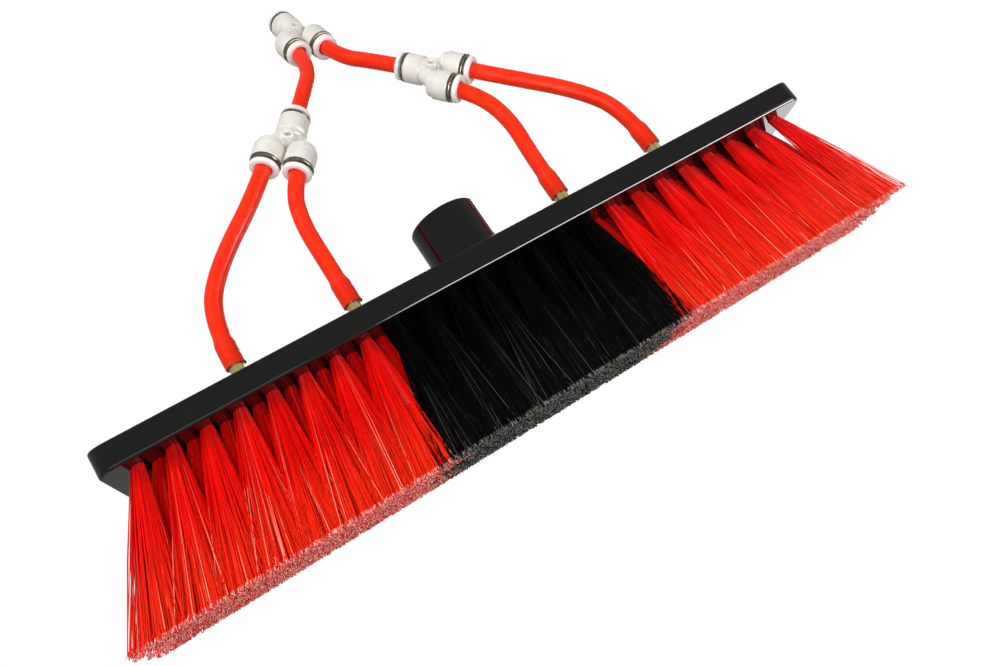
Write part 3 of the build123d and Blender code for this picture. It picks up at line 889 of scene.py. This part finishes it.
# The lamps: name, place, the point it aims at, width and height in metres, power in watts, and whether
# it leaves out glossy or diffuse light. The back lamp's mirror image brightens the underside's right end.
LAMPS = (
    ("key", (-0.6, -0.9, 0.9), (0, 0, 0.08), (0.8, 0.8), 11.0, "glossy"),
    ("rear", (0.6, 1.0, 0.8), (0, 0, 0.08), (0.6, 0.6), 6.0, None),
    ("fill", (0.9, -0.6, 0.0), (0, 0, 0.06), (0.5, 0.5), 1.4, None),
    ("low", (-0.3, -0.7, -0.12), (0, 0, 0.03), (0.6, 0.4), 1.8, None),
    ("under", (0.0, -0.22, -0.145), (0.0, 0.0, 0.0), (0.7, 0.2), 1.2, "glossy"),
    ("edge", (0.24, -0.12, -0.14), (0.20, -0.03, 0.06), (0.52, 0.16), 6.0, "diffuse"),
    ("back", (0.85, 0.7, -0.15), (0.85, 0.7, 1.0), (0.7, 0.7), 2.4, "diffuse"),
)


def studio_paper():
    """Background paper with a trace of fibre. It gives off light for the camera alone, so it stays white."""
    material, tree, place = start_material("studio_paper")
    fibre = add_node(tree, "ShaderNodeTexNoise", {
        "Vector": (place, "Object"), "Scale": pattern_scale(25), "Detail": 4.0})
    tint = add_node(tree, "ShaderNodeValToRGB", {"Fac": (fibre, "Fac")}, stops=[
        (0.3, linear("#a8a7a4")), (0.7, linear("#b0afac"))])
    seen = add_node(tree, "ShaderNodeLightPath")
    shader = add_node(tree, "ShaderNodeBsdfPrincipled", {
        "Base Color": (tint, "Color"), "Roughness": 0.9, "Emission Color": rgba((1.0, 1.0, 1.0)),
        "Emission Strength": (seen, "Is Camera Ray")})
    add_node(tree, "ShaderNodeOutputMaterial", {"Surface": (shader, "BSDF")})
    return material


def add_lamp(name, place, aim, size, power, left_out):
    """A rectangular area light that points at a place. It may leave out glossy or diffuse light."""
    data = bpy.data.lights.new(name, "AREA")
    data.shape = "RECTANGLE"
    data.size, data.size_y = size
    data.energy = power
    lamp = bpy.data.objects.new(name, data)
    lamp.location = place
    lamp.visible_camera = False
    lamp.visible_glossy = left_out != "glossy"
    lamp.visible_diffuse = left_out != "diffuse"
    lamp.rotation_euler = (Vector(aim) - Vector(place)).to_track_quat("-Z", "Y").to_euler()
    bpy.context.scene.collection.objects.link(lamp)


class BRUSHHEAD_OT_stage(bpy.types.Operator):
    """Set the camera, the floor and the studio light"""

    bl_idname = "brush_head.stage"
    bl_label = "Stage"

    def execute(self, context):
        settings = context.scene.brush_head_stage
        scene = context.scene
        scene.view_settings.view_transform = "Standard"
        data = bpy.data.cameras.new("camera")
        data.lens = settings.focal_length
        data.clip_start = CAMERA_NEAREST
        data.shift_x, data.shift_y = CAMERA_SHIFT
        camera = bpy.data.objects.new("camera", data)
        heading = Matrix.Rotation(-settings.camera_turn, 4, "Z")
        rise = Matrix.Rotation(pi / 2 + settings.camera_rise, 4, "X")
        roll = Matrix.Rotation(-settings.camera_roll, 4, "Z")
        camera.matrix_world = Matrix.Translation(settings.camera_place) @ heading @ rise @ roll
        scene.collection.objects.link(camera)
        scene.camera = camera

        bm = bmesh.new()
        bmesh.ops.create_grid(bm, x_segments=4, y_segments=4, size=FLOOR_HALF_SIZE)
        bmesh.ops.translate(bm, verts=bm.verts, vec=(0, 0, -settings.floor_drop))
        mesh = bpy.data.meshes.new("floor")
        bm.to_mesh(mesh)
        bm.free()
        show("floor", mesh, studio_paper(), smooth=False)

        world = bpy.data.worlds.new("studio")
        world.use_nodes = True
        tree = world.node_tree
        tree.nodes.clear()
        seen = add_node(tree, "ShaderNodeLightPath")
        strength = add_node(tree, "ShaderNodeMapRange", {
            "Value": (seen, "Is Camera Ray"), "To Min": WORLD_FILL, "To Max": WORLD_SEEN})
        light = add_node(tree, "ShaderNodeBackground", {
            "Color": rgba((1.0, 1.0, 1.0)), "Strength": (strength, "Result")})
        add_node(tree, "ShaderNodeOutputWorld", {"Surface": (light, "Background")})
        scene.world = world
        for lamp in LAMPS:
            add_lamp(*lamp)
        return {"FINISHED"}


class BRUSHHEAD_PT_panel(bpy.types.Panel):
    """Lists the pieces of the brush head"""

    bl_idname = "BRUSHHEAD_PT_panel"
    bl_label = "Brush Head"
    bl_space_type = "VIEW_3D"
    bl_region_type = "UI"
    bl_category = "Brush Head"

    def draw(self, context):
        for group, operators in GROUPS.items():
            box = self.layout.box()
            for name in getattr(context.scene, group).__annotations__:
                box.prop(getattr(context.scene, group), name)
            for operator in operators:
                box.operator(operator.bl_idname)


GROUPS = {
    "brush_head_stage": (BRUSHHEAD_OT_stage,),
    "brush_head_hoses": (BRUSHHEAD_OT_hoses,),
    "brush_head_bristles": (BRUSHHEAD_OT_block, BRUSHHEAD_OT_bristles),
    "brush_head_fittings": (BRUSHHEAD_OT_jets, BRUSHHEAD_OT_fittings),
}
SETTINGS = {
    "brush_head_stage": StageSettings,
    "brush_head_hoses": HoseSettings,
    "brush_head_bristles": BristleSettings,
    "brush_head_fittings": FittingSettings,
}
OPERATORS = [operator for group in GROUPS.values() for operator in group]


def register():
    for cls in (*SETTINGS.values(), *OPERATORS, BRUSHHEAD_PT_panel):
        bpy.utils.register_class(cls)
    for name, cls in SETTINGS.items():
        setattr(bpy.types.Scene, name, PointerProperty(type=cls))


def unregister():
    for name in SETTINGS:
        delattr(bpy.types.Scene, name)
    for cls in reversed((*SETTINGS.values(), *OPERATORS, BRUSHHEAD_PT_panel)):
        bpy.utils.unregister_class(cls)


def main():
    register()
    bpy.ops.brush_head.stage()
    bpy.ops.brush_head.hoses()
    bpy.ops.brush_head.block()
    bpy.ops.brush_head.bristles()
    bpy.ops.brush_head.jets()
    bpy.ops.brush_head.fittings()


if __name__ == "__main__":
    main()
